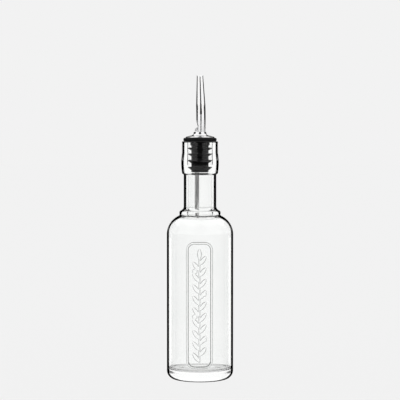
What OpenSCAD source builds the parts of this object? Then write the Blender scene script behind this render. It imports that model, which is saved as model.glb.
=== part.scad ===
// Glass oil bottle with a free-flow pourer.
// A round, thick-based bottle of clear glass with an embossed panel on its front,
// closed by a finned rubber stopper that carries a bent steel spout and an air tube.
// Millimetres, +Z up. The origin is on the table, under the bottle's own axis.
// The embossed panel faces -Y and the spout leans back towards +Y.

/* [Bottle body] */
// Outside diameter of the body
body_d = 55; // [46:0.5:70]
// Height of the straight side, up to where the shoulder begins
body_h = 120; // [90:1:160]
// Thickness of the body wall
wall = 2.2; // [1.6:0.1:3]
// Radius of the shoulder's curve
shoulder_r = 17; // [12:0.5:19]
// Radius between the side and the base
heel_r = 7; // [4:0.5:9]
// Thickness of the glass under the inside floor, at its edge
floor_t = 8.5; // [5:0.5:12]
// Radius between the inside floor and the inside wall
inner_heel_r = 3.5; // [2:0.5:6]
// Rise of the inside floor at its centre
floor_rise = 0.8; // [0.4:0.1:2]
// Width of the ring that the bottle stands on
bearing_w = 2; // [1:0.5:4]
// Depth of the hollow under the base
push_up = 1.8; // [0.5:0.1:3]

/* [Neck and finish] */
// Outside diameter of the plain neck
neck_d = 26.9; // [24:0.1:30]
// Inside diameter of the neck
bore_d = 20.4; // [16:0.1:22]
// Diameter of the step where the neck meets the shoulder
collar_d = 34; // [32:0.5:38]
// Height of that step above the end of the shoulder's curve
collar_h = 4; // [3:0.5:8]
// Radius from the step up into the neck
neck_fillet = 4; // [2:0.5:6]
// Length of the plain neck, from its foot to the finish
neck_l = 26; // [15:1:50]
// Height of the thick finish, from its lower edge to the rim
finish_h = 27.5; // [24:0.2:36]
// Outside diameter of the straight part of the finish
finish_d = 29.9; // [28:0.1:34]
// Length of the straight part of the finish, under the rim
finish_straight = 9; // [6:0.5:14]
// How far the finish bulges below its straight part
bulge = 0.57; // [0.2:0.01:1]
// Radius on the rim's outer edge
rim_r = 0.9; // [0.4:0.1:1.5]

/* [Embossed panel] */
// Height of the panel's lower edge above the table
panel_z = 12.1; // [12:0.1:20]
// Height of the panel, outside its frame
panel_h = 103; // [60:1:106]
// Width of the panel, outside its frame
panel_w = 21.2; // [16:0.1:30]
// Width of the frame's raised line
frame_w = 1.5; // [1:0.1:2.5]
// Radius of the frame's outer corners
frame_r = 6.5; // [3:0.5:8]
// Height of the embossing over the glass
relief = 0.5; // [0.3:0.1:0.8]
// Length of one leaf of the embossed sprig
leaf_l = 9.5; // [6:0.5:11]
// Width of one leaf
leaf_w = 3.2; // [2:0.1:4]
// Angle between a leaf and the stem
leaf_angle = 36; // [25:1:50]
// Number of leaves on each side of the stem
leaf_count = 9; // [4:1:10]
// Diameter of one embossed olive
olive_d = 4.2; // [3:0.1:5]

/* [Stopper] */
// Diameter of the flange that rests on the rim
flange_d = 27.5; // [24:0.1:34]
// Thickness of the flange
flange_t = 2.9; // [2:0.1:5]
// Diameter of the plug just under the flange
plug_d = 16; // [14:0.1:18]
// Length of that wider plug
plug_l = 3.4; // [2:0.1:5]
// Diameter of the stopper's core between the fins
core_d = 14.2; // [12:0.1:15.5]
// Length of the stopper below the rim
stopper_l = 25.1; // [24:0.1:30]
// Depth of the first fin's root below the rim
first_fin = 6.6; // [6:0.1:8]
// Distance from one fin to the next
fin_pitch = 5.05; // [4.6:0.05:5.6]
// Thickness of a fin at its tip
fin_tip_t = 0.6; // [0.4:0.1:1]
// Thickness of a fin at its root
fin_root_t = 2.6; // [1:0.1:3]
// How far a fin's tip sweeps up
fin_sweep = 0.7; // [0:0.1:1.2]
// Gap between a fin's tip and the neck's bore
fin_gap = 0.05; // [0.03:0.01:0.3]

/* [Metal parts] */
// Diameter of the steel disc over the flange
disc_d = 24; // [20:0.5:27]
// Height of the disc's dome
disc_rise = 2.6; // [1.8:0.1:4]
// Thickness of the disc's sheet
disc_t = 0.5; // [0.4:0.1:1]
// Height of the collar that rises from the disc around the ferrule
disc_collar_h = 2.3; // [1.5:0.1:4]
// Radius of the flare from the disc's dome into its collar
disc_flare = 2.6; // [0.8:0.1:3]
// Outside diameter of the ferrule through the stopper
ferrule_d = 9.2; // [9.2:0.1:11]
// Wall of the ferrule
ferrule_wall = 0.4; // [0.3:0.05:0.5]
// Width of the lip that holds the rubber on, past the ferrule's wall
lip_w = 0.9; // [0.6:0.1:1.4]
// Outside diameter of the spout's tube
spout_d = 6.7; // [5.5:0.1:6.8]
// Outside diameter of the spout at its tip
tip_d = 4.2; // [3.6:0.1:5.4]
// Wall of the spout
spout_wall = 0.5; // [0.3:0.05:0.7]
// Height of the spout's tip above the rim
spout_rise = 55; // [45:1:70]
// Angle that the spout leans back from upright
spout_lean = 27; // [15:1:40]
// Radius of the spout's bend, on its axis
bend_r = 26; // [20:1:40]
// Turn of the spout about the bottle's axis
spout_turn = 4; // [-10:1:10]
// Outside diameter of the air tube
air_d = 2.9; // [2:0.1:3]
// Wall of the air tube
air_wall = 0.4; // [0.25:0.05:0.5]
// Depth of the air tube's lower end below the rim
air_drop = 62; // [35:1:80]

/* [Fits] */
// Gap around the ferrule, in the stopper's hole and in the disc
ferrule_fit = 0.05; // [0.03:0.01:0.15]
// Gap around the tubes where they are brazed into the ferrule
braze_gap = 0.03; // [0.02:0.01:0.1]
// Gap between the ferrule's lip and the rubber
lip_gap = 0.1; // [0.05:0.05:0.3]

/* [Hidden] */
$fn = 96;
over = 1;

body_r = body_d / 2;
neck_r = neck_d / 2;
bore_r = bore_d / 2;
collar_r = collar_d / 2;
finish_r = finish_d / 2;

// The shoulder is one arc, tangent to the side, that ends at the collar.
shoulder_x = body_r - shoulder_r;
shoulder_end = acos((collar_r - shoulder_x) / shoulder_r);
shoulder_top = body_h + shoulder_r * sin(shoulder_end);
collar_top = shoulder_top + collar_h;
collar_edge = 1.3;
neck_foot = collar_top + neck_fillet * sin(70);
finish_z = neck_foot + neck_l;
bottle_h = finish_z + finish_h;
bulge_top = bottle_h - rim_r - finish_straight;
finish_edge = 1.4;
bulge_foot = finish_z + 2.2;
bulge_half = (bulge_top - bulge_foot) / 2;
bulge_r = (bulge_half * bulge_half + bulge * bulge) / (2 * bulge);
bulge_sweep = asin(bulge_half / bulge_r);

// Inside the shoulder, a rounded corner of glass joins the bore to the shoulder's arc.
inner_r = body_r - wall;
inner_shoulder_r = shoulder_r - wall;
throat_r = 3;
throat_x = bore_r + throat_r;
throat_reach = inner_shoulder_r + throat_r;
throat_dz = sqrt(pow(throat_reach, 2) - pow(throat_x - shoulder_x, 2));
throat_angle = atan2(throat_dz, throat_x - shoulder_x);
mouth_r = 0.8;
recess_r = body_r - heel_r - bearing_w;

panel_top = panel_z + panel_h;
sprig_margin = 3.5;
leaf_room = panel_h - 2 * frame_w - 2 * sprig_margin;
leaf_pitch = (leaf_room - leaf_l) / leaf_count;
stem_w = 1;
leaf_stagger = 0.25;
olive_gap = 1.6;

stopper_z = bottle_h - stopper_l;
flange_top = bottle_h + flange_t;
fin_r = bore_r - fin_gap;

ferrule_r = ferrule_d / 2;
ferrule_sink = 0.3;
ferrule_top = flange_top + disc_rise + disc_collar_h - ferrule_sink;
lip_t = 0.6;
lip_r = ferrule_r + lip_w;
counterbore = 1.4;
web_t = 1.4;

spout_r = spout_d / 2;
tip_r = tip_d / 2;
air_r = air_d / 2;
spout_inset = 0.05;
spout_x = ferrule_r - ferrule_wall - spout_r - spout_inset;
spout_grip = 6;
spout_foot = ferrule_top - spout_grip;

air_inset = 0.2;
air_x = air_r - ferrule_r + ferrule_wall + air_inset;
air_y = -0.8;
air_bottom = bottle_h - air_drop;
mouth_rise = 2.8;
mouth_z = ferrule_top + mouth_rise;
mouth_slant = 50;
foot_slant = 45;
air_top = mouth_z + air_r * tan(mouth_slant);

// The dent in the spout that makes room for the air tube is part of a wide cylinder
// that narrows to a cone above the air tube's mouth.
dent_r = 12;
dent_gap = 0.3;
dent_edge = air_x + air_r + dent_gap;
dent_top_r = spout_x - spout_r - dent_gap / 3 - (dent_edge - dent_r);
dent_taper = 5;
dent_top = air_top + dent_taper;

// The spout is straight up to the top of the dent, then it bends and tapers.
bend_start = 0.6;
bend_z = dent_top + bend_start;
spout_tip = bottle_h + spout_rise;
cone_z = bend_z + bend_r * sin(spout_lean);
cone_l = (spout_tip - cone_z) / cos(spout_lean);
cone_over = 2 * spout_r;
bend_lap = 0.8;
bend_thinning = 0.03;

// Points of an arc, from one angle to another, both ends included.
function arc(x, z, r, from, to, steps = 12) =
    [for (i = [0:steps]) let (a = from + (to - from) * i / steps) [x + r * cos(a), z + r * sin(a)]];

// Radius of the sphere that rises by h over a flat radius r.
function dome_r(r, h) = (r * r + h * h) / (2 * h);

// Points of a shallow dome's outline, from its edge at radius r to the axis, or back.
function dome(r, z, h, steps = 10) =
    [for (i = [0:steps]) let (x = r * (1 - i / steps), s = dome_r(r, h)) [x, z + h - s + sqrt(s * s - x * x)]];

function reversed(list) = [for (i = [len(list) - 1:-1:0]) list[i]];

module bottle_outline() {
    polygon(concat(
        reversed(dome(recess_r, 0, push_up)),
        arc(body_r - heel_r, heel_r, heel_r, -90, 0),
        arc(shoulder_x, body_h, shoulder_r, 0, shoulder_end, 18),
        arc(collar_r - collar_edge, collar_top - collar_edge, collar_edge, 0, 80, 6),
        reversed(arc(neck_r + neck_fillet, neck_foot, neck_fillet, 180, 248)),
        [[neck_r, finish_z]],
        arc(finish_r - finish_edge, finish_z + finish_edge + 0.4, finish_edge, -60, 0, 6),
        arc(finish_r + bulge - bulge_r, bulge_foot + bulge_half, bulge_r, -bulge_sweep, bulge_sweep, 16),
        arc(finish_r - rim_r, bottle_h - rim_r, rim_r, 0, 90, 6),
        [[0, bottle_h]]
    ));
}

module cavity_outline() {
    polygon(concat(
        reversed(dome(inner_r - inner_heel_r, floor_t, floor_rise)),
        arc(inner_r - inner_heel_r, floor_t + inner_heel_r, inner_heel_r, -90, 0),
        arc(shoulder_x, body_h, inner_shoulder_r, 0, throat_angle, 18),
        reversed(arc(throat_x, body_h + throat_dz, throat_r, 180, throat_angle + 180, 8)),
        reversed(arc(bore_r + mouth_r, bottle_h - mouth_r, mouth_r, 90, 180, 6)),
        [[bore_r + mouth_r, bottle_h + over], [0, bottle_h + over]]
    ));
}

module rounded_panel(w, h, r) {
    square([w - 2 * r, h], center = true);
    square([w, h - 2 * r], center = true);
    for (x = [-1, 1], y = [-1, 1])
        translate([x * (w / 2 - r), y * (h / 2 - r)])
            circle(r);
}

// A leaf is where two equal circles overlap. It starts at the origin and points along +Y.
module leaf() {
    r = (leaf_l * leaf_l + leaf_w * leaf_w) / (4 * leaf_w);
    translate([0, leaf_l / 2])
        intersection() {
            translate([r - leaf_w / 2, 0])
                circle(r);
            translate([leaf_w / 2 - r, 0])
                circle(r);
        }
}

module sprig() {
    translate([-stem_w / 2, -leaf_room / 2])
        square([stem_w, leaf_room - leaf_l + 1]);
    translate([0, leaf_room / 2 - leaf_l])
        leaf();
    for (i = [0:leaf_count - 1], side = [-1, 1])
        translate([0, -leaf_room / 2 + leaf_pitch * (i + 0.3 + leaf_stagger * side)])
            rotate(-side * leaf_angle)
                leaf();
    for (i = [1:2:leaf_count - 1])
        translate([pow(-1, (i - 1) / 2) * (olive_d / 2 + olive_gap), -leaf_room / 2 + leaf_pitch * (i + 1.02)])
            circle(d = olive_d);
}

// Everything raised on the panel: the frame and the olive sprig inside it.
module embossing() {
    difference() {
        rounded_panel(panel_w, panel_h, frame_r);
        rounded_panel(panel_w - 2 * frame_w, panel_h - 2 * frame_w, frame_r - frame_w);
    }
    sprig();
}

module glass_bottle() {
    color([0.86, 0.92, 0.9, 0.45])
        union() {
            difference() {
                rotate_extrude()
                    bottle_outline();
                rotate_extrude()
                    cavity_outline();
            }
            intersection() {
                translate([0, 0, (panel_z + panel_top) / 2])
                    rotate([90, 0, 0])
                        linear_extrude(body_d)
                            embossing();
                difference() {
                    cylinder(h = body_h, r = body_r + relief);
                    translate([0, 0, -over])
                        cylinder(h = body_h + 2 * over, r = body_r - wall / 2);
                }
            }
        }
}

module fin(z) {
    polygon([
        [core_d / 2 - over, z - fin_root_t / 2],
        [core_d / 2, z - fin_root_t / 2],
        [fin_r, z + fin_sweep - fin_tip_t / 2],
        [fin_r, z + fin_sweep + fin_tip_t / 2],
        [core_d / 2, z + fin_root_t / 2],
        [core_d / 2 - over, z + fin_root_t / 2]
    ]);
}

module stopper() {
    edge = 1.1;
    foot = 1;
    color([0.1, 0.1, 0.11])
        difference() {
            rotate_extrude() {
                polygon(concat(
                    [[0, stopper_z]],
                    arc(core_d / 2 - foot, stopper_z + foot, foot, -90, 0, 5),
                    [[core_d / 2, bottle_h - plug_l - 0.6], [plug_d / 2, bottle_h - plug_l], [plug_d / 2, bottle_h]],
                    arc(flange_d / 2 - edge, bottle_h + edge, edge, -90, 0, 6),
                    arc(flange_d / 2 - edge, flange_top - edge, edge, 0, 90, 6),
                    [[0, flange_top]]
                ));
                for (i = [0:3])
                    fin(bottle_h - first_fin - i * fin_pitch);
            }
            translate([0, 0, stopper_z - over])
                cylinder(h = flange_top - stopper_z + 2 * over, r = ferrule_r + ferrule_fit);
            translate([0, 0, stopper_z - over])
                cylinder(h = counterbore + over, r = lip_r + lip_gap);
        }
}

// The disc is stamped from sheet: a low dome with a collar drawn up around the ferrule.
module cap_disc() {
    disc_r = disc_d / 2;
    rim_h = 0.7;
    collar_out = ferrule_r + ferrule_fit + disc_t;
    crown_z = flange_top + disc_rise;
    flare_x = collar_out + disc_flare;
    flare_z = crown_z - pow(flare_x, 2) / (2 * dome_r(disc_r, disc_rise - rim_h));
    hem = 0.9;
    hollow_r = disc_r - hem;
    color([0.75, 0.76, 0.78])
        difference() {
            rotate_extrude() {
                polygon(concat(
                    [[0, flange_top], [disc_r, flange_top]],
                    dome(disc_r, flange_top + rim_h, disc_rise - rim_h)
                ));
                polygon(concat(
                    [[0, flare_z - rim_h], [flare_x, flare_z - rim_h]],
                    reversed(arc(flare_x, flare_z + disc_flare, disc_flare, 180, 270, 8)),
                    [[collar_out, crown_z + disc_collar_h], [0, crown_z + disc_collar_h]]
                ));
            }
            rotate_extrude()
                polygon(concat(
                    [[0, flange_top - over], [hollow_r, flange_top - over]],
                    dome(hollow_r, flange_top + 0.1, disc_rise - disc_t - 0.1)
                ));
            translate([0, 0, flange_top - over])
                cylinder(h = disc_rise + disc_collar_h + 2 * over, r = ferrule_r + ferrule_fit);
        }
}

// The spout's whole tube as a solid, grown or shrunk by an amount: a straight foot,
// a bend and a taper, less the dent that passes the air tube.
module spout_solid(grow) {
    difference() {
        translate([spout_x, 0, 0])
            rotate(spout_turn)
                spout_tube(grow);
        translate([dent_edge - dent_r, 0, 0])
            rotate_extrude()
                polygon([
                    [0, spout_foot - 2 * over],
                    [dent_r - grow, spout_foot - 2 * over],
                    [dent_r - grow, air_top],
                    [dent_top_r - grow, dent_top],
                    [0, dent_top]
                ]);
    }
}

// The bend is a hair thinner than the straight lengths that lap over its ends.
module spout_tube(grow) {
    r = spout_r + grow;
    foot_over = grow < 0 ? over : 0;
    taper = (spout_r - tip_r) / cone_l;
    translate([0, 0, spout_foot - foot_over])
        cylinder(h = bend_z + bend_lap - spout_foot + foot_over, r = r);
    translate([0, bend_r, bend_z])
        rotate([90, 0, -90])
            rotate_extrude(angle = spout_lean)
                translate([bend_r, 0])
                    circle(r - bend_thinning);
    translate([0, bend_r * (1 - cos(spout_lean)), cone_z])
        rotate([-spout_lean, 0, 0])
            translate([0, 0, -bend_lap])
                cylinder(
                    h = bend_lap + cone_l + cone_over,
                    r1 = r + taper * bend_lap,
                    r2 = r - taper * (cone_l + cone_over)
                );
}

module spout() {
    color([0.75, 0.76, 0.78])
        difference() {
            spout_solid(0);
            spout_solid(-spout_wall);
            translate([-spout_rise, -spout_rise, spout_tip])
                cube(2 * spout_rise);
        }
}

module ferrule() {
    lip_top = stopper_z + counterbore - lip_gap;
    lip_foot = lip_top - lip_t;
    color([0.7, 0.71, 0.73])
        difference() {
            union() {
                translate([0, 0, lip_foot])
                    cylinder(h = ferrule_top - lip_foot, r = ferrule_r);
                translate([0, 0, lip_foot])
                    cylinder(h = lip_t, r = lip_r);
            }
            translate([0, 0, lip_foot - over])
                cylinder(h = ferrule_top - web_t - lip_foot + over, r = ferrule_r - ferrule_wall);
            spout_solid(braze_gap);
            translate([air_x, air_y, stopper_z])
                cylinder(h = ferrule_top - stopper_z + over, r = air_r + braze_gap);
        }
}

// The air tube is cut aslant at both ends, so that a drop of oil can't close it.
module air_tube() {
    cut = 8 * air_r;
    color([0.75, 0.76, 0.78])
        translate([air_x, air_y, 0])
            difference() {
                translate([0, 0, air_bottom])
                    cylinder(h = air_top - air_bottom + over, r = air_r);
                translate([0, 0, air_bottom - over])
                    cylinder(h = air_top - air_bottom + 3 * over, r = air_r - air_wall);
                translate([0, 0, mouth_z])
                    rotate([0, 0, -40])
                        rotate([mouth_slant, 0, 0])
                            translate([-cut / 2, -cut / 2, 0])
                                cube(cut);
                translate([0, 0, air_bottom + air_r * tan(foot_slant)])
                    rotate([0, foot_slant, 0])
                        translate([-cut / 2, -cut / 2, -cut])
                            cube(cut);
            }
}

glass_bottle();
stopper();
cap_disc();
ferrule();
spout();
air_tube();
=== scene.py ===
import math

import bmesh
import bpy
from mathutils import Matrix, Vector


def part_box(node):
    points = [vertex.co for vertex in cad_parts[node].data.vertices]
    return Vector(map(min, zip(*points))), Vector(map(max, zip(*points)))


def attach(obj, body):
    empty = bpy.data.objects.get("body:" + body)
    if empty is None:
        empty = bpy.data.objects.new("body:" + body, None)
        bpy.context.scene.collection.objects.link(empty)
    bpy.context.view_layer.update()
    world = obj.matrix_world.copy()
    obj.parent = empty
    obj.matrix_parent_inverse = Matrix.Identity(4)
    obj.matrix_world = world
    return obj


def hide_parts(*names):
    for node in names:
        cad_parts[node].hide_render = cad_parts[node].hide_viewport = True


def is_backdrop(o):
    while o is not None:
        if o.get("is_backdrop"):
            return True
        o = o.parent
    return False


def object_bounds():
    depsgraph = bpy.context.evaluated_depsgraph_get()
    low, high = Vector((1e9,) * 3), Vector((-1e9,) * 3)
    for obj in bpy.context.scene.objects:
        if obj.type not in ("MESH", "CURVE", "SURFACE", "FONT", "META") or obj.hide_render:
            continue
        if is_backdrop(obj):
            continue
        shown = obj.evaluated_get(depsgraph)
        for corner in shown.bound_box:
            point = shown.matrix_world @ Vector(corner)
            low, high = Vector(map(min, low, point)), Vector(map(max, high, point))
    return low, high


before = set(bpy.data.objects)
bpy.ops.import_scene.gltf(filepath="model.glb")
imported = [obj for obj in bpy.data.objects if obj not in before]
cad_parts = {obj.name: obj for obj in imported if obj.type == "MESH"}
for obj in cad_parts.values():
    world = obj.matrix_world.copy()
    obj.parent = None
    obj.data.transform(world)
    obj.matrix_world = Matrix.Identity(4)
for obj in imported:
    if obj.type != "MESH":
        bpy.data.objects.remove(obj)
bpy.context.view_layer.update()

# ---------------------------------------------------------------------------
# Camera. It stands level with the bottle's mouth and looks very slightly down,
# and one degree round from the front of the embossed panel.
# ---------------------------------------------------------------------------
scene = bpy.context.scene
MM = 0.001

mouth_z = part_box("glass_bottle")[1][2]
camera_distance = 1.263
camera_turn = math.radians(1.0)
camera_pitch = math.radians(2.2)

camera = bpy.data.objects.new("camera", bpy.data.cameras.new("camera"))
scene.collection.objects.link(camera)
scene.camera = camera
camera.data.sensor_width = 36
camera.data.lens = 137.4
camera.location = (
    camera_distance * math.sin(camera_turn),
    -camera_distance * math.cos(camera_turn),
    mouth_z,
)
camera.rotation_euler = (math.radians(90) - camera_pitch, 0, camera_turn)

# ---------------------------------------------------------------------------
# Studio. A pale sweep of even light surrounds the bottle, which stands on a
# plain pale floor. Black cards ride with the camera: glass and polished steel
# take dark lines from them in their reflections, and the glass's dark outline is
# also painted shade in its colour. Only their reflections show, and of the low
# front card also what reaches the camera through glass.
# ---------------------------------------------------------------------------
scene.view_settings.view_transform = "Standard"
BACKDROP = (0.888, 0.888, 0.888, 1)
LIGHT = (1.06, 1.06, 1.06, 1)
SOFT_BOXES = (1.5, 1.5, 1.5, 1)


def link(tree, output, socket):
    """Links an output to a socket, or sets the socket to a plain value."""
    if isinstance(output, bpy.types.NodeSocket):
        tree.links.new(output, socket)
    else:
        socket.default_value = output


def blend(tree, factor, first, second):
    """A colour mix of two colours or sockets."""
    node = tree.nodes.new("ShaderNodeMix")
    node.data_type = "RGBA"
    link(tree, factor, node.inputs["Factor"])
    link(tree, first, node.inputs["A"])
    link(tree, second, node.inputs["B"])
    return node.outputs["Result"]


def maths(tree, operation, *values):
    """A math node fed by numbers or sockets."""
    node = tree.nodes.new("ShaderNodeMath")
    node.operation = operation
    for socket, value in zip(node.inputs, values):
        link(tree, value, socket)
    return node.outputs["Value"]


def ramp(tree, value, start, end, low=0.0, high=1.0):
    """A smooth step of a value, from low at start to high at end."""
    node = tree.nodes.new("ShaderNodeMapRange")
    node.interpolation_type = "SMOOTHSTEP"
    link(tree, value, node.inputs["Value"])
    node.inputs["From Min"].default_value = start
    node.inputs["From Max"].default_value = end
    node.inputs["To Min"].default_value = low
    node.inputs["To Max"].default_value = high
    return node.outputs["Result"]


world = bpy.data.worlds.new("studio_light")
scene.world = world
world.use_nodes = True
sky_tree = world.node_tree
sky_ray = sky_tree.nodes.new("ShaderNodeLightPath")
sky_color = blend(sky_tree, sky_ray.outputs["Is Glossy Ray"], LIGHT, SOFT_BOXES)
sky_color = blend(sky_tree, sky_ray.outputs["Is Transmission Ray"], sky_color, LIGHT)
sky_color = blend(sky_tree, sky_ray.outputs["Is Camera Ray"], sky_color, BACKDROP)
link(sky_tree, sky_color, sky_tree.nodes["Background"].inputs["Color"])


def new_material(name, color=(0.8, 0.8, 0.8, 1), roughness=0.5):
    """A material with its node tree and its Principled shader."""
    material = bpy.data.materials.new(name)
    material.use_nodes = True
    tree = material.node_tree
    shader = tree.nodes["Principled BSDF"]
    shader.inputs["Base Color"].default_value = color
    shader.inputs["Roughness"].default_value = roughness
    return material, tree, shader


def finished(bm, name, material, smooth=True):
    """Puts a finished bmesh into the scene as an object, with its place in its mesh."""
    mesh = bpy.data.meshes.new(name)
    bm.to_mesh(mesh)
    bm.free()
    mesh.materials.append(material)
    mesh.polygons.foreach_set("use_smooth", [smooth] * len(mesh.polygons))
    piece = bpy.data.objects.new(name, mesh)
    scene.collection.objects.link(piece)
    return piece


# The floor shows to the camera only. Glass and steel see the sweep's light.
floor_size = 12.0
floor_paint, tree, shader = new_material("pale_floor", (0.836, 0.836, 0.836, 1), 0.9)
shader.inputs["Specular IOR Level"].default_value = 0.0
bm = bmesh.new()
bmesh.ops.create_grid(bm, x_segments=1, y_segments=1, size=floor_size)
floor = finished(bm, "floor", floor_paint, smooth=False)
floor.visible_transmission = False
floor.visible_glossy = False
floor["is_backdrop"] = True

card_cloth, tree, shader = new_material("black_card", (0, 0, 0, 1), 1.0)
shader.inputs["Specular IOR Level"].default_value = 0.0
card_r = 1.0
card_steps = 24


def hang_card(name, middle, half, low, high, through_glass=False):
    """A black card bent round the object, in the camera's own axes.

    Its middle and half width are angles round from the camera, and low and
    high are heights from the middle of the view.
    """
    start, end = math.radians(middle - half), math.radians(middle + half)
    bm = bmesh.new()
    foot = bm.verts.new((0, low, card_r))
    head = bm.verts.new((0, high, card_r))
    edge = bm.edges.new((foot, head))
    bmesh.ops.rotate(bm, verts=[foot, head], cent=(0, 0, 0), matrix=Matrix.Rotation(start, 3, "Y"))
    bmesh.ops.spin(
        bm, geom=[foot, head, edge], cent=(0, 0, 0), axis=(0, 1, 0), dvec=(0, 0, 0),
        angle=end - start, steps=card_steps,
    )
    upright = Matrix.Rotation(camera_pitch, 3, "X")
    bmesh.ops.rotate(bm, verts=bm.verts, cent=(0, 0, 0), matrix=upright)
    bmesh.ops.translate(bm, verts=bm.verts, vec=(0, 0, -camera_distance))
    card = finished(bm, name, card_cloth, smooth=False)
    card.parent = camera
    card.visible_camera = False
    card.visible_diffuse = False
    card.visible_transmission = through_glass
    card.visible_shadow = False
    card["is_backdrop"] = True


# Behind the object they give the dark edges, and in front the middle line. The
# gap between low and high cards leaves the disc's dome and flare bright.
hang_card("back_card_body", 180, 46, -1.2, -0.089)
hang_card("back_card_neck", 180, 62, -0.089, 0.050)
hang_card("back_card_steel", 180, 96, 0.066, 0.57)
hang_card("camera_card_glass", 0, 118, -1.2, 0.050, through_glass=True)
hang_card("camera_card_spout", 0, 15, 0.066, 0.4)
hang_card("camera_card_top", 0, 26, 0.4, 2.4)

# Painted shade: the glass also looks down through its own base on to a disc that
# glows grey, close under it and only a little wider. It stands in for the shade
# seen through the base and heel. Nothing else sees that.
shade_disc_r = 36 * MM
shade_disc_drop = 1 * MM
shade_glow_paint, tree, shader = new_material("glowing_shade_disc_paint", (0, 0, 0, 1), 1.0)
shader.inputs["Specular IOR Level"].default_value = 0.0
# The disc's grey is its own glow: painted shade, not a lamp and not a lit table.
shader.inputs["Emission Color"].default_value = (0.66, 0.66, 0.66, 1)
shader.inputs["Emission Strength"].default_value = 1.0
bm = bmesh.new()
bmesh.ops.create_circle(bm, cap_ends=True, segments=48, radius=shade_disc_r)
bmesh.ops.translate(bm, verts=bm.verts, vec=(0, 0, -shade_disc_drop))
glowing_shade_disc = finished(bm, "glowing_shade_disc", shade_glow_paint, smooth=False)
glowing_shade_disc.visible_camera = False
glowing_shade_disc.visible_diffuse = False
glowing_shade_disc.visible_glossy = False
glowing_shade_disc.visible_shadow = False
glowing_shade_disc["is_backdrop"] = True


def new_group(name, inputs, outputs):
    """A shader node group with its sockets and its two end nodes."""
    group = bpy.data.node_groups.new(name, "ShaderNodeTree")
    for socket, kind, value in inputs:
        made = group.interface.new_socket(socket, in_out="INPUT", socket_type=kind)
        made.default_value = value
    for socket, kind in outputs:
        group.interface.new_socket(socket, in_out="OUTPUT", socket_type=kind)
    return group, group.nodes.new("NodeGroupInput"), group.nodes.new("NodeGroupOutput")


def noise(tree, vector, scale, detail=3.0, roughness=0.5):
    """A noise texture's value."""
    node = tree.nodes.new("ShaderNodeTexNoise")
    link(tree, vector, node.inputs["Vector"])
    link(tree, scale, node.inputs["Scale"])
    node.inputs["Detail"].default_value = detail
    node.inputs["Roughness"].default_value = roughness
    return node.outputs[0]


# Marks that every surface has some of: a fine grain that can be drawn out along
# one way, soft clouds of handling and polish, and a few specks of dust.
marks, ends_in, ends_out = new_group(
    "surface_marks",
    [
        ("Vector", "NodeSocketVector", (0, 0, 0)),
        ("Draw", "NodeSocketVector", (1, 1, 1)),
        ("Grain Scale", "NodeSocketFloat", 2000.0),
        ("Cloud Scale", "NodeSocketFloat", 60.0),
        ("Speck Scale", "NodeSocketFloat", 900.0),
    ],
    [("Grain", "NodeSocketFloat"), ("Cloud", "NodeSocketFloat"), ("Specks", "NodeSocketFloat")],
)
drawn = marks.nodes.new("ShaderNodeVectorMath")
drawn.operation = "MULTIPLY"
link(marks, ends_in.outputs["Vector"], drawn.inputs[0])
link(marks, ends_in.outputs["Draw"], drawn.inputs[1])
grain = noise(marks, drawn.outputs["Vector"], ends_in.outputs["Grain Scale"], 4.0, 0.6)
cloud = noise(marks, ends_in.outputs["Vector"], ends_in.outputs["Cloud Scale"], 3.0)
specks = noise(marks, ends_in.outputs["Vector"], ends_in.outputs["Speck Scale"], 1.0)
link(marks, ramp(marks, grain, 0.25, 0.75), ends_out.inputs["Grain"])
link(marks, ramp(marks, cloud, 0.35, 0.7), ends_out.inputs["Cloud"])
link(marks, ramp(marks, specks, 0.72, 0.78), ends_out.inputs["Specks"])


def marked(tree, **values):
    """The shared marks in a material, on the object's own coordinates."""
    place = tree.nodes.new("ShaderNodeTexCoord")
    node = tree.nodes.new("ShaderNodeGroup")
    node.node_tree = marks
    link(tree, place.outputs["Object"], node.inputs["Vector"])
    for name, value in values.items():
        node.inputs[name.replace("_", " ")].default_value = value
    return place.outputs["Object"], node.outputs


def bumped(tree, height, distance, strength=1.0):
    """A normal bent by a height."""
    node = tree.nodes.new("ShaderNodeBump")
    node.inputs["Distance"].default_value = distance
    node.inputs["Strength"].default_value = strength
    link(tree, height, node.inputs["Height"])
    return node.outputs["Normal"]


# ---------------------------------------------------------------------------
# Glass bottle. One moulding of clear soda-lime glass: thick base with a
# push-up, round shoulder, plain neck and a heavy finish. The frame and the
# olive sprig on the front are raised in the mould.
# ---------------------------------------------------------------------------
body_r = 27.5 * MM
wall = 2.2 * MM
body_h = 120 * MM
heel_r = 7 * MM
shoulder_r = 17 * MM
shoulder_x = body_r - shoulder_r
collar_r = 17 * MM
collar_edge = 1.3 * MM
neck_r = 13.45 * MM
neck_fillet = 4 * MM
bore_r = 10.2 * MM
finish_r = 14.95 * MM
finish_edge = 1.4 * MM
bulge = 0.57 * MM
rim_r = 0.9 * MM
mouth_edge = 0.8 * MM
bearing_r = body_r - heel_r
recess_r = bearing_r - 2 * MM
push_up = 1.8 * MM
floor_t = 8.5 * MM
floor_rise = 0.8 * MM
inner_heel_r = 3.5 * MM

shoulder_end = math.degrees(math.acos((collar_r - shoulder_x) / shoulder_r))
collar_top = body_h + shoulder_r * math.sin(math.radians(shoulder_end)) + 4 * MM
collar_low = collar_top - 3.6 * MM
collar_bead = 0.9 * MM
neck_foot = collar_top + neck_fillet * math.sin(math.radians(70))
finish_z = neck_foot + 26 * MM
bulge_top = mouth_z - rim_r - 9 * MM
bulge_foot = finish_z + 2.2 * MM
bulge_half = (bulge_top - bulge_foot) / 2
bulge_r = (bulge_half**2 + bulge**2) / (2 * bulge)
bulge_x = finish_r + bulge - bulge_r
bulge_sweep = math.degrees(math.asin(bulge_half / bulge_r))

inner_r = body_r - wall
inner_shoulder_r = shoulder_r - wall
throat_r = 3 * MM
throat_x = bore_r + throat_r
throat_dz = math.sqrt((inner_shoulder_r + throat_r) ** 2 - (throat_x - shoulder_x) ** 2)
throat_angle = math.degrees(math.atan2(throat_dz, throat_x - shoulder_x))

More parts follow.
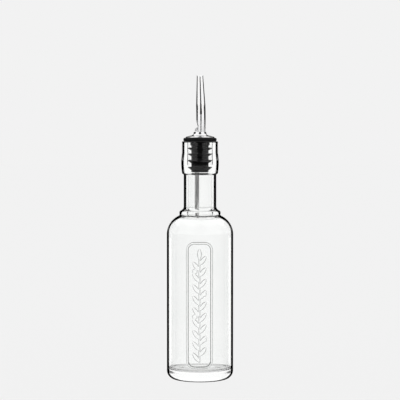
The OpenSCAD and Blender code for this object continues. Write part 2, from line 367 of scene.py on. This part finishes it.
panel_low = 12.1 * MM
panel_h = 103 * MM
panel_w = 21.2 * MM
frame_w = 1.5 * MM
frame_r = 6.5 * MM
relief = 0.5 * MM
relief_slope = 0.3 * MM
leaf_l = 9.5 * MM
leaf_w = 3.2 * MM
leaf_r = (leaf_l**2 + leaf_w**2) / (4 * leaf_w)
leaf_angle = math.radians(36)
leaf_count = 9
olive_r = 2.1 * MM
stem_w = 1 * MM
sprig_h = panel_h - 2 * frame_w - 7 * MM
leaf_pitch = (sprig_h - leaf_l) / leaf_count
panel_mid = panel_low + panel_h / 2


def arc(x, z, r, start, end, steps=12):
    """Points of an arc in an outline, from one angle to another in degrees."""
    turns = [math.radians(start + (end - start) * i / steps) for i in range(steps + 1)]
    return [(x + r * math.cos(a), z + r * math.sin(a)) for a in turns]


def line(start, end, steps):
    """Evenly spaced points from start up to, but not including, end."""
    return [
        (start[0] + (end[0] - start[0]) * i / steps, start[1] + (end[1] - start[1]) * i / steps)
        for i in range(steps)
    ]


def dome(r, z, rise, steps=10):
    """Points of a shallow dome, from its edge at radius r to the axis."""
    sphere = (r * r + rise * rise) / (2 * rise)
    xs = [r * (1 - i / steps) for i in range(steps + 1)]
    return [(x, z + rise - sphere + math.sqrt(sphere**2 - x * x)) for x in xs]


row = 0.25 * MM
bottle_outside = (
    dome(recess_r, 0, push_up)[::-1]
    + arc(bearing_r, heel_r, heel_r, -90, 0, 16)
    + [(body_r, heel_r + row)]
    + line((body_r, panel_low - 1.2 * MM), (body_r, panel_low + panel_h + 1.2 * MM), 350)
    + arc(shoulder_x, body_h, shoulder_r, 0, shoulder_end - 2, 28)
    + arc(collar_r - collar_bead, collar_low + collar_bead, collar_bead, -50, 0, 6)
    + arc(collar_r - collar_edge, collar_top - collar_edge, collar_edge, 0, 80, 8)
    + arc(neck_r + neck_fillet, neck_foot, neck_fillet, 248, 180, 14)
    + [(neck_r, neck_foot + row), (neck_r, finish_z - row), (neck_r, finish_z)]
    + arc(finish_r - finish_edge, finish_z + finish_edge + 0.4 * MM, finish_edge, -60, 0, 8)
    + arc(bulge_x, bulge_foot + bulge_half, bulge_r, -bulge_sweep, bulge_sweep, 24)
    + arc(finish_r - rim_r, mouth_z - rim_r, rim_r, 0, 90, 8)
)
bottle_inside = (
    arc(bore_r + mouth_edge, mouth_z - mouth_edge, mouth_edge, 90, 180, 8)
    + [(bore_r, mouth_z - mouth_edge - row), (bore_r, body_h + throat_dz + row)]
    + arc(throat_x, body_h + throat_dz, throat_r, 180, throat_angle + 180, 12)
    + arc(shoulder_x, body_h, inner_shoulder_r, throat_angle, 0, 28)
    + [(inner_r, body_h - row), (inner_r, floor_t + inner_heel_r + row)]
    + arc(inner_r - inner_heel_r, floor_t + inner_heel_r, inner_heel_r, 0, -90, 14)
    + dome(inner_r - inner_heel_r, floor_t, floor_rise)[1:]
)


def panel_distance(x, z, w, h, r):
    """Distance outside a rounded rectangle; negative inside it."""
    dx = abs(x) - w / 2 + r
    dz = abs(z) - h / 2 + r
    return math.hypot(max(dx, 0), max(dz, 0)) + min(max(dx, dz), 0) - r


def raised(distance):
    """How far a raised shape has come up, 0 to 1, at a distance outside its edge."""
    t = min(max(0.5 - distance / relief_slope, 0), 1)
    return t * t * (3 - 2 * t)


def leaf_height(x, z):
    """A leaf along +Z from the origin: a low crown with a groove for its midrib."""
    side = leaf_r - leaf_w / 2
    dz = z - leaf_l / 2
    distance = math.hypot(abs(x) + side, dz) - leaf_r
    crown = 0.7 + 0.3 * min(max(-distance / (leaf_w / 2), 0), 1)
    rib = 0.35 * math.exp(-((x / (0.28 * MM)) ** 2))
    return raised(distance) * (crown - rib)


leaves = [(0.0, sprig_h / 2 - leaf_l, 0.0)]
for i in range(leaf_count):
    for side in (-1, 1):
        leaves.append((0.0, -sprig_h / 2 + leaf_pitch * (i + 0.3 + 0.25 * side), side * leaf_angle))
olives = [
    ((-1) ** ((i - 1) // 2) * (olive_r + 1.6 * MM), -sprig_h / 2 + leaf_pitch * (i + 1.02))
    for i in range(1, leaf_count, 2)
]


def embossing(x, z):
    """Height of the mould's raised design over the glass, at x across and z up the panel."""
    frame_line = max(
        panel_distance(x, z, panel_w, panel_h, frame_r),
        -panel_distance(x, z, panel_w - 2 * frame_w, panel_h - 2 * frame_w, frame_r - frame_w),
    )
    height = raised(frame_line)
    stem_top = sprig_h / 2 - leaf_l + 1 * MM
    height = max(height, raised(max(abs(x) - stem_w / 2, -sprig_h / 2 - z, z - stem_top)) * 0.8)
    for root_x, root_z, lean in leaves:
        dx, dz = x - root_x, z - root_z
        if dx * dx + dz * dz < (leaf_l + relief_slope) ** 2:
            across = dx * math.cos(lean) - dz * math.sin(lean)
            along = dx * math.sin(lean) + dz * math.cos(lean)
            height = max(height, leaf_height(across, along))
    for olive_x, olive_z in olives:
        away = math.hypot(x - olive_x, z - olive_z) / olive_r
        if away < 1:
            height = max(height, math.sqrt(1 - away * away))
    return relief * height


panel_half = math.asin((panel_w / 2 + 1.2 * MM) / body_r)
front = -math.pi / 2

bm = bmesh.new()
outline = [bm.verts.new((x, 0, z)) for x, z in bottle_outside + bottle_inside]
profile = outline + [bm.edges.new(pair) for pair in zip(outline, outline[1:])]
bmesh.ops.rotate(
    bm, verts=outline, cent=(0, 0, 0), matrix=Matrix.Rotation(front - panel_half, 3, "Z")
)
turned = bmesh.ops.spin(
    bm, geom=profile, cent=(0, 0, 0), axis=(0, 0, 1), dvec=(0, 0, 0),
    angle=2 * panel_half, steps=78,
)
bmesh.ops.spin(
    bm, geom=turned["geom_last"], cent=(0, 0, 0), axis=(0, 0, 1), dvec=(0, 0, 0),
    angle=2 * math.pi - 2 * panel_half, steps=90,
)
bmesh.ops.remove_doubles(bm, verts=bm.verts, dist=1e-6)
bmesh.ops.recalc_face_normals(bm, faces=bm.faces)
for v in bm.verts:
    on_side = abs(math.hypot(v.co.x, v.co.y) - body_r) < 1e-6
    if on_side and v.co.y < 0 and abs(v.co.x) < panel_w / 2 + relief_slope:
        lift = embossing(v.co.x, v.co.z - panel_mid)
        v.co.x *= 1 + lift / body_r
        v.co.y *= 1 + lift / body_r


# Painted shade: glass looks dark at its edge, where light enters it almost level
# with its surface, and here that dark edge is painted black into the base colour
# by how edge-on the surface faces the view. The group gives how far round the
# edge that painted shade begins, where the outside of the glass is, and where the
# flanks of the raised design are, which are painted dark too.
edge_width = 1.9 * MM
edge_growth = 0.022
edge_on_shoulder = 0.75
least_r = 4 * MM
rim_start = mouth_z - 1.1 * MM
rim_end = mouth_z - 0.7 * MM

glass_painted_shade, ends_in, ends_out = new_group(
    "glass_painted_shade",
    [("Vector", "NodeSocketVector", (0, 0, 0)), ("Width", "NodeSocketFloat", edge_width)],
    [("Start", "NodeSocketFloat"), ("Outside", "NodeSocketFloat"), ("FlankShade", "NodeSocketFloat")],
)


def edge_maths(operation, *values):
    """A math node in the glass's painted shade group."""
    return maths(glass_painted_shade, operation, *values)


def length(first, second):
    """The length of the hypotenuse over two sockets."""
    first = edge_maths("MULTIPLY", first, first)
    second = edge_maths("MULTIPLY", second, second)
    return edge_maths("SQRT", edge_maths("ADD", first, second))


place = glass_painted_shade.nodes.new("ShaderNodeSeparateXYZ")
link(glass_painted_shade, ends_in.outputs["Vector"], place.inputs["Vector"])
x, y, z = place.outputs
around = length(x, y)
around_or_least = edge_maths("MAXIMUM", around, least_r)

# The painted dark edge is wider on the narrow neck and finish, and finer on the shoulder.
narrower = edge_maths("SUBTRACT", body_r, around)
width = edge_maths("MULTIPLY_ADD", narrower, edge_growth, ends_in.outputs["Width"])
below = ramp(glass_painted_shade, z, body_h, body_h + 9 * MM, 1.0, edge_on_shoulder)
above = ramp(glass_painted_shade, z, body_h + 16 * MM, body_h + 18 * MM)
width = edge_maths("MULTIPLY", width, edge_maths("MAXIMUM", below, above))
share = edge_maths("SUBTRACT", 1.0, edge_maths("DIVIDE", width, around_or_least))
level = edge_maths("SQRT", edge_maths("SUBTRACT", 1.0, edge_maths("MULTIPLY", share, share)))
# Along the top of the rim the painted dark edge covers the glass whichever way it faces.
rim = ramp(glass_painted_shade, z, rim_start, rim_end)
start = edge_maths("SUBTRACT", edge_maths("SUBTRACT", 1.0, level), rim)
link(glass_painted_shade, start, ends_out.inputs["Start"])

# The painted dark edge goes on the outside only: the side, the shoulder and the foot, but not the
# inner wall.
over = edge_maths("MAXIMUM", edge_maths("SUBTRACT", z, body_h), 0.0)
reach = length(over, edge_maths("SUBTRACT", around, shoulder_x))
shell = edge_maths("GREATER_THAN", reach, shoulder_r - wall / 2)
off_bore = edge_maths("GREATER_THAN", around, bore_r + 2 * mouth_edge)
shell = edge_maths("MULTIPLY", shell, off_bore)
foot = edge_maths("LESS_THAN", z, floor_t - 0.3 * MM)
link(glass_painted_shade, edge_maths("MAXIMUM", shell, foot), ends_out.inputs["Outside"])

# The flanks of the raised design lean away from the round of the body. There the glass is painted
# near-black: painted shade for the dark lines the relief shows.
turned = glass_painted_shade.nodes.new("ShaderNodeTexCoord")
lean = glass_painted_shade.nodes.new("ShaderNodeSeparateXYZ")
link(glass_painted_shade, turned.outputs["Normal"], lean.inputs["Vector"])
towards = edge_maths("MULTIPLY", lean.outputs["Y"], y)
towards = edge_maths("MULTIPLY_ADD", lean.outputs["X"], x, towards)
squareness = edge_maths("ABSOLUTE", edge_maths("DIVIDE", towards, around_or_least))
above_heel = ramp(glass_painted_shade, z, heel_r + 1 * MM, heel_r + 2 * MM)
below_shoulder = ramp(glass_painted_shade, z, body_h - 2 * MM, body_h - 1 * MM, 1.0, 0.0)
on_panel = edge_maths("MULTIPLY", above_heel, below_shoulder)
on_panel = edge_maths("MULTIPLY", on_panel, edge_maths("LESS_THAN", y, 0.0))
painted_flank_shade = edge_maths("MULTIPLY", ramp(glass_painted_shade, squareness, 0.99, 0.88), on_panel)
link(glass_painted_shade, edge_maths("MULTIPLY", painted_flank_shade, shell), ends_out.inputs["FlankShade"])

clear_glass, tree, shader = new_material("clear_glass", roughness=0.0)
shader.inputs["Transmission Weight"].default_value = 1.0
shader.inputs["IOR"].default_value = 1.52
shader.inputs["Specular Tint"].default_value = (0.45, 0.45, 0.45, 1)
object_place, glass_marks = marked(tree, Grain_Scale=90.0, Cloud_Scale=35.0, Draw=(1, 1, 0.35))
edge = tree.nodes.new("ShaderNodeGroup")
edge.node_tree = glass_painted_shade
link(tree, object_place, edge.inputs["Vector"])
edge.inputs["Width"].default_value = edge_width
facing = tree.nodes.new("ShaderNodeLayerWeight")
facing.inputs["Blend"].default_value = 0.5
# Painted shade: where Layer Weight's facing passes the group's start, the base colour is painted
# black round the glass's outline.
past = maths(tree, "SUBTRACT", facing.outputs["Facing"], edge.outputs["Start"])
dark = maths(tree, "MULTIPLY", ramp(tree, past, -0.03, 0.03), edge.outputs["Outside"])
tint_and_flank_shade = blend(tree, glass_marks["Cloud"], (0.972, 0.976, 0.972, 1), (0.955, 0.962, 0.957, 1))
# Painted shade: the relief's flanks are painted near-black over the glass's real cloudy tint.
tint_and_flank_shade = blend(tree, edge.outputs["FlankShade"], tint_and_flank_shade, (0.10, 0.105, 0.10, 1))
link(tree, blend(tree, dark, tint_and_flank_shade, (0.0, 0.0, 0.0, 1)), shader.inputs["Base Color"])
link(tree, bumped(tree, glass_marks["Grain"], 0.02 * MM, 0.6), shader.inputs["Normal"])
bottle = finished(bm, "glass_bottle_moulding", clear_glass)
bottle.visible_diffuse = False
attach(bottle, "bottle")
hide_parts("glass_bottle")

# ---------------------------------------------------------------------------
# Stopper. One moulding of black rubber: a flange that sits on the rim, a
# short wide plug, and a core with four thin fins that grip the neck.
# ---------------------------------------------------------------------------
stopper_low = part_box("stopper")[0][2]
flange_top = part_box("stopper")[1][2]
flange_r = 13.75 * MM
flange_edge = 1.1 * MM
plug_r = 8 * MM
plug_z = mouth_z - 3.4 * MM
core_r = 7.1 * MM
core_edge = 1 * MM
fin_r = 10.15 * MM
fin_sweep = 0.7 * MM
fin_root = 2.6 * MM
fin_tip = 0.6 * MM
fin_pitch = 5.05 * MM
first_fin = mouth_z - 6.6 * MM
hole_r = 4.65 * MM
counterbore_r = 5.6 * MM
counterbore_h = 1.4 * MM


def fin_outline(z):
    """Outline of one fin, from its lower root out round its tip to its upper root."""
    tip_z = z + fin_sweep
    return (
        [(core_r, z - fin_root / 2), (core_r + 0.3 * MM, z - fin_root / 2 + 0.15 * MM)]
        + arc(fin_r - fin_tip / 2, tip_z, fin_tip / 2, -75, 75, 6)
        + [(core_r + 0.3 * MM, z + fin_root / 2 - 0.1 * MM), (core_r, z + fin_root / 2)]
    )


spin_steps = 96


def spun(outline):
    """Turns a closed outline about the Z axis into a closed surface with outward faces."""
    bm = bmesh.new()
    ring = [bm.verts.new((x, 0, z)) for x, z in outline]
    geom = ring + [bm.edges.new(pair) for pair in zip(ring, ring[1:] + ring[:1])]
    bmesh.ops.spin(
        bm, geom=geom, cent=(0, 0, 0), axis=(0, 0, 1), dvec=(0, 0, 0),
        angle=2 * math.pi, steps=spin_steps, use_merge=True,
    )
    bmesh.ops.remove_doubles(bm, verts=bm.verts, dist=1e-6)
    bmesh.ops.recalc_face_normals(bm, faces=bm.faces)
    return bm


stopper_outline = (
    [(hole_r, stopper_low + counterbore_h), (counterbore_r, stopper_low + counterbore_h)]
    + [(counterbore_r, stopper_low)]
    + arc(core_r - core_edge, stopper_low + core_edge, core_edge, -90, 0, 8)
    + [p for i in range(3, -1, -1) for p in fin_outline(first_fin - i * fin_pitch)]
    + [(core_r, plug_z - 0.6 * MM), (core_r + 0.2 * MM, plug_z - 0.5 * MM)]
    + [(plug_r - 0.2 * MM, plug_z), (plug_r, plug_z + 0.2 * MM), (plug_r, mouth_z)]
    + arc(flange_r - flange_edge, mouth_z + flange_edge, flange_edge, -90, 0, 8)
    + arc(flange_r - flange_edge, flange_top - flange_edge, flange_edge, 0, 90, 8)
    + [(hole_r, flange_top)]
)
black_rubber, tree, shader = new_material("black_rubber", roughness=0.6)
shader.inputs["Specular IOR Level"].default_value = 0.12
rubber_marks = marked(tree, Grain_Scale=2600.0, Cloud_Scale=220.0, Speck_Scale=1500.0)[1]
rubber = blend(tree, rubber_marks["Cloud"], (0.004, 0.004, 0.0045, 1), (0.009, 0.009, 0.0095, 1))
rubber = blend(tree, rubber_marks["Specks"], rubber, (0.05, 0.05, 0.048, 1))
link(tree, rubber, shader.inputs["Base Color"])
link(tree, ramp(tree, rubber_marks["Cloud"], 0.0, 1.0, 0.5, 0.68), shader.inputs["Roughness"])
link(tree, bumped(tree, rubber_marks["Grain"], 0.03 * MM, 0.8), shader.inputs["Normal"])
stopper = finished(spun(stopper_outline), "stopper_moulding", black_rubber)
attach(stopper, "rubber")
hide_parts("stopper")

# ---------------------------------------------------------------------------
# Cap disc. Stamped from polished stainless sheet: a low dome that covers the
# rubber flange, with a collar drawn up round the ferrule.
# ---------------------------------------------------------------------------


def steel_material(name, draw, grain_scale, polish, grain_depth):
    """Stainless steel: its grain drawn out one way, with clouds of finer polish."""
    material, tree, shader = new_material(name)
    shader.inputs["Metallic"].default_value = 1.0
    marks_of = marked(tree, Draw=draw, Grain_Scale=grain_scale, Cloud_Scale=160.0)[1]
    tone = blend(tree, marks_of["Grain"], (0.66, 0.66, 0.665, 1), (0.60, 0.60, 0.605, 1))
    tone = blend(tree, marks_of["Cloud"], tone, (0.64, 0.635, 0.63, 1))
    link(tree, tone, shader.inputs["Base Color"])
    gloss = maths(tree, "MULTIPLY_ADD", marks_of["Cloud"], 0.05, polish)
    gloss = maths(tree, "MULTIPLY_ADD", marks_of["Grain"], 0.03, gloss)
    link(tree, gloss, shader.inputs["Roughness"])
    link(tree, bumped(tree, marks_of["Grain"], grain_depth, 0.5), shader.inputs["Normal"])
    return material


disc_steel = steel_material("disc_steel", (1, 1, 1), 700.0, 0.10, 0.004 * MM)

disc_r = 12 * MM
disc_rise = 2.6 * MM
disc_t = 0.5 * MM
disc_rim = 0.7 * MM
disc_hole = 4.65 * MM
collar_out = disc_hole + disc_t
collar_h = 2.3 * MM
flare = 2.6 * MM
crown_z = flange_top + disc_rise
crown_sphere = (disc_r**2 + (disc_rise - disc_rim) ** 2) / (2 * (disc_rise - disc_rim))
flare_x = collar_out + flare
flare_z = crown_z - flare_x**2 / (2 * crown_sphere)
hollow_r = disc_r - 0.9 * MM
crown = dome(disc_r, flange_top + disc_rim, disc_rise - disc_rim, 16)[1:]
hollow = dome(hollow_r, flange_top + 0.1 * MM, disc_rise - disc_t - 0.1 * MM, 16)[::-1]

disc_outline = (
    [(hollow_r, flange_top)]
    + arc(disc_r - 0.25 * MM, flange_top + 0.25 * MM, 0.25 * MM, -90, 0, 4)
    + arc(disc_r - 0.35 * MM, flange_top + disc_rim - 0.3 * MM, 0.35 * MM, 0, 72, 5)
    + [point for point in crown if point[0] > flare_x]
    + arc(flare_x, flare_z + flare, flare, 270, 180, 8)
    + arc(collar_out - 0.25 * MM, crown_z + collar_h - 0.25 * MM, 0.25 * MM, 0, 90, 4)
    + arc(disc_hole + 0.2 * MM, crown_z + collar_h - 0.2 * MM, 0.2 * MM, 90, 180, 4)
    + [(disc_hole, crown_z - disc_t)]
    + [point for point in hollow if point[0] > disc_hole]
)
disc = finished(spun(disc_outline), "cap_disc_stamping", disc_steel)
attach(disc, "metal_insert")
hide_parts("cap_disc")

# ---------------------------------------------------------------------------
# Spout. A drawn stainless tube, tapered, bent back and cut level at its tip,
# dented at its foot where it shares the ferrule with the air tube.
# ---------------------------------------------------------------------------
spout_steel = steel_material("spout_steel", (1, 1, 0.03), 2200.0, 0.08, 0.003 * MM)

ferrule_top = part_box("ferrule")[1][2]
spout_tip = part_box("spout")[1][2]
ferrule_r = 4.6 * MM
ferrule_wall = 0.4 * MM
spout_r = 3.35 * MM
tip_r = 2.1 * MM
spout_wall = 0.5 * MM
spout_lean = math.radians(27)
spout_turn = math.radians(4)
bend_r = 26 * MM
spout_foot = ferrule_top - 6 * MM
spout_x = ferrule_r - ferrule_wall - spout_r - 0.05 * MM

air_r = 1.45 * MM
air_wall = 0.4 * MM
air_x = air_r - ferrule_r + ferrule_wall + 0.2 * MM
air_y = -0.8 * MM
air_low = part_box("air_tube")[0][2]
dent_gap = 0.3 * MM
dent_r = 12 * MM
dent_x = air_x + air_r + dent_gap - dent_r
mouth_slant = math.radians(50)
air_mouth = ferrule_top + 2.8 * MM
air_top = air_mouth + air_r * math.tan(mouth_slant)
dent_taper = 5 * MM
dent_top_r = spout_x - spout_r - dent_gap / 3 - dent_x
bend_z = air_top + dent_taper + 0.6 * MM
cone_z = bend_z + bend_r * math.sin(spout_lean)
cone_l = (spout_tip - cone_z) / math.cos(spout_lean)

spout_rings = (
    [(0.0, spout_foot + (bend_z - spout_foot) * i / 16, 0.0, spout_r) for i in range(16)]
    + [
        (bend_r * (1 - math.cos(a)), bend_z + bend_r * math.sin(a), a, spout_r)
        for a in (spout_lean * i / 24 for i in range(24))
    ]
    + [
        (
            bend_r * (1 - math.cos(spout_lean)) + t * math.sin(spout_lean),
            cone_z + t * math.cos(spout_lean),
            spout_lean,
            spout_r + (tip_r - spout_r) * t / cone_l,
        )
        for t in (cone_l * i / 28 for i in range(33))
    ]
)

bm = bmesh.new()
rings = []
for back, z, lean, r in spout_rings:
    place = (
        Matrix.Translation((spout_x, 0, 0))
        @ Matrix.Rotation(spout_turn, 4, "Z")
        @ Matrix.Translation((0, back, z))
        @ Matrix.Rotation(-lean, 4, "X")
    )
    made = bmesh.ops.create_circle(bm, segments=64, radius=r, matrix=place)
    rings.append(made["verts"])
for low, high in zip(rings, rings[1:]):
    open_edges = dict.fromkeys(
        e for v in low + high for e in v.link_edges if len(e.link_faces) < 2
    )
    rims = [
        e for e in open_edges
        if all(v in low for v in e.verts) or all(v in high for v in e.verts)
    ]
    bmesh.ops.bridge_loops(bm, edges=rims)
for v in bm.verts:
    t = min(max((v.co.z - air_top) / dent_taper, 0), 1)
    r = dent_r + (dent_top_r - dent_r) * t
    dx = v.co.x - dent_x
    if dx * dx + v.co.y**2 < r * r:
        v.co.x = dent_x + math.sqrt(r * r - v.co.y**2)
bmesh.ops.bisect_plane(
    bm, geom=bm.verts[:] + bm.edges[:] + bm.faces[:], plane_co=(0, 0, spout_tip),
    plane_no=(0, 0, 1), clear_outer=True,
)
bmesh.ops.recalc_face_normals(bm, faces=bm.faces)
bmesh.ops.solidify(bm, geom=bm.faces[:], thickness=spout_wall)
for v in bm.verts:
    v.co.z = min(v.co.z, spout_tip)
spout = finished(bm, "spout_tube", spout_steel)
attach(spout, "metal_insert")
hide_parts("spout")

# ---------------------------------------------------------------------------
# Ferrule. A thin stainless sleeve pressed through the rubber. Both tubes are
# brazed into its top, and a lip spun out below keeps the rubber on.
# ---------------------------------------------------------------------------
# The ferrule and the air tube are left dull from drawing, not polished.
tube_steel = steel_material("tube_steel", (1, 1, 0.02), 3000.0, 0.14, 0.003 * MM)
tube_steel.node_tree.nodes["Principled BSDF"].inputs["Metallic"].default_value = 0.6

lip_r = 5.5 * MM
lip_t = 0.6 * MM
lip_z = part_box("ferrule")[0][2]
ferrule_bore = ferrule_r - ferrule_wall
ferrule_outline = (
    [(ferrule_bore, ferrule_top - 1.4 * MM), (ferrule_bore, lip_z + 0.25 * MM)]
    + arc(ferrule_bore + 0.25 * MM, lip_z + 0.25 * MM, 0.25 * MM, 180, 270, 4)
    + arc(lip_r - lip_t / 2, lip_z + lip_t / 2, lip_t / 2, -90, 90, 8)
    + [(ferrule_r, lip_z + lip_t)]
    + arc(ferrule_r - 0.2 * MM, ferrule_top - 0.2 * MM, 0.2 * MM, 0, 90, 4)
    + [(0, ferrule_top), (0, ferrule_top - 1.4 * MM)]
)
ferrule = finished(spun(ferrule_outline), "ferrule_sleeve", tube_steel)
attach(ferrule, "metal_insert")
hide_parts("ferrule")

# ---------------------------------------------------------------------------
# Air tube. A thin drawn stainless tube, cut aslant at both ends so that a drop
# of oil can't close it.
# ---------------------------------------------------------------------------
bm = bmesh.new()
made = bmesh.ops.create_circle(bm, segments=40, radius=air_r)
bmesh.ops.translate(bm, verts=made["verts"], vec=(air_x, air_y, air_low - 1 * MM))
pulled = bmesh.ops.extrude_edge_only(bm, edges=bm.edges[:])
bmesh.ops.translate(
    bm, verts=[v for v in pulled["geom"] if isinstance(v, bmesh.types.BMVert)],
    vec=(0, 0, air_top - air_low + 2 * MM),
)
mouth_turn = Matrix.Rotation(math.radians(-40), 3, "Z") @ Matrix.Rotation(mouth_slant, 3, "X")
mouth_normal = mouth_turn @ Vector((0, 0, 1))
foot_normal = Matrix.Rotation(math.radians(45), 3, "Y") @ Vector((0, 0, -1))
for point, normal in (
    ((air_x, air_y, air_mouth), mouth_normal),
    ((air_x, air_y, air_low + air_r), foot_normal),
):
    bmesh.ops.bisect_plane(
        bm, geom=bm.verts[:] + bm.edges[:] + bm.faces[:], plane_co=point, plane_no=normal,
        clear_outer=True,
    )
bmesh.ops.recalc_face_normals(bm, faces=bm.faces)
bmesh.ops.solidify(bm, geom=bm.faces[:], thickness=air_wall)
air_tube = finished(bm, "air_tube_drawn", tube_steel)
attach(air_tube, "metal_insert")
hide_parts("air_tube")

# ---------------------------------------------------------------------------
# The visual model's box, without the backdrop.
# ---------------------------------------------------------------------------
low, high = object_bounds()
